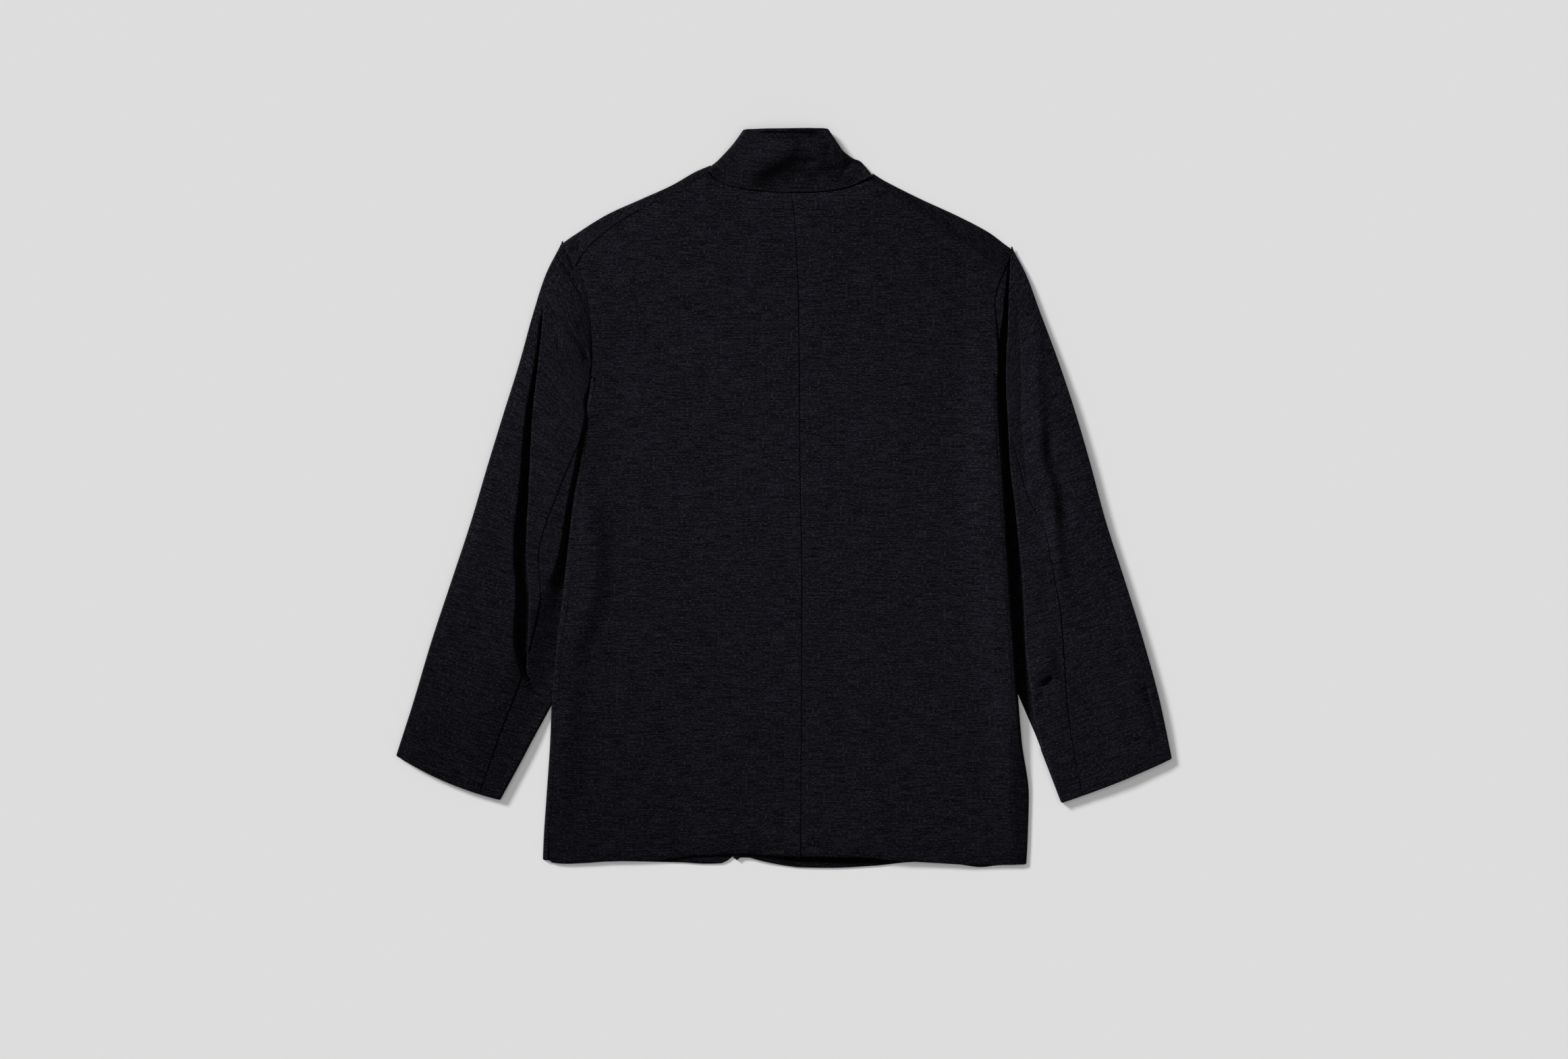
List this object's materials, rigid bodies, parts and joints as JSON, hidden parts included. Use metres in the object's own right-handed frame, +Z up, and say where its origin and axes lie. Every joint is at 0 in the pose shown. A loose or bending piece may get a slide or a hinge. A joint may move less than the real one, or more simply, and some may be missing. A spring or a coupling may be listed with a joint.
{
  "type": "knit jacket",
  "caption": "Dark heathered knit jacket laid flat face down, with a stand collar, set-in two-piece sleeves and a centre-back seam.",
  "frame": {"origin": "middle of the jacket's outline, on the surface that it lies on", "axes": "+Z up from the surface, out of the jacket's back; +X across the sleeves, to the wearer's right; +Y from the hem to the collar"},
  "size_m": [0.8381, 0.7991, 0.0161],
  "materials": {
    "back_left_knit": "matt heathered wool jersey",
    "back_right_knit": "matt heathered wool jersey",
    "front_left_knit": "matt heathered wool jersey",
    "front_right_knit": "matt heathered wool jersey",
    "upper_sleeve_left_knit": "matt heathered wool jersey",
    "under_sleeve_left_knit": "matt heathered wool jersey",
    "upper_sleeve_right_knit": "matt heathered wool jersey",
    "under_sleeve_right_knit": "matt heathered wool jersey",
    "collar_knit": "matt heathered wool jersey, doubled"
  },
  "bodies": {
    "root": {"back_left": "back_left_knit", "back_right": "back_right_knit", "front_left": "front_left_knit", "front_right": "front_right_knit", "upper_sleeve_left": "upper_sleeve_left_knit", "under_sleeve_left": "under_sleeve_left_knit", "upper_sleeve_right": "upper_sleeve_right_knit", "under_sleeve_right": "under_sleeve_right_knit", "collar": "collar_knit"}
  },
  "joints": []
}
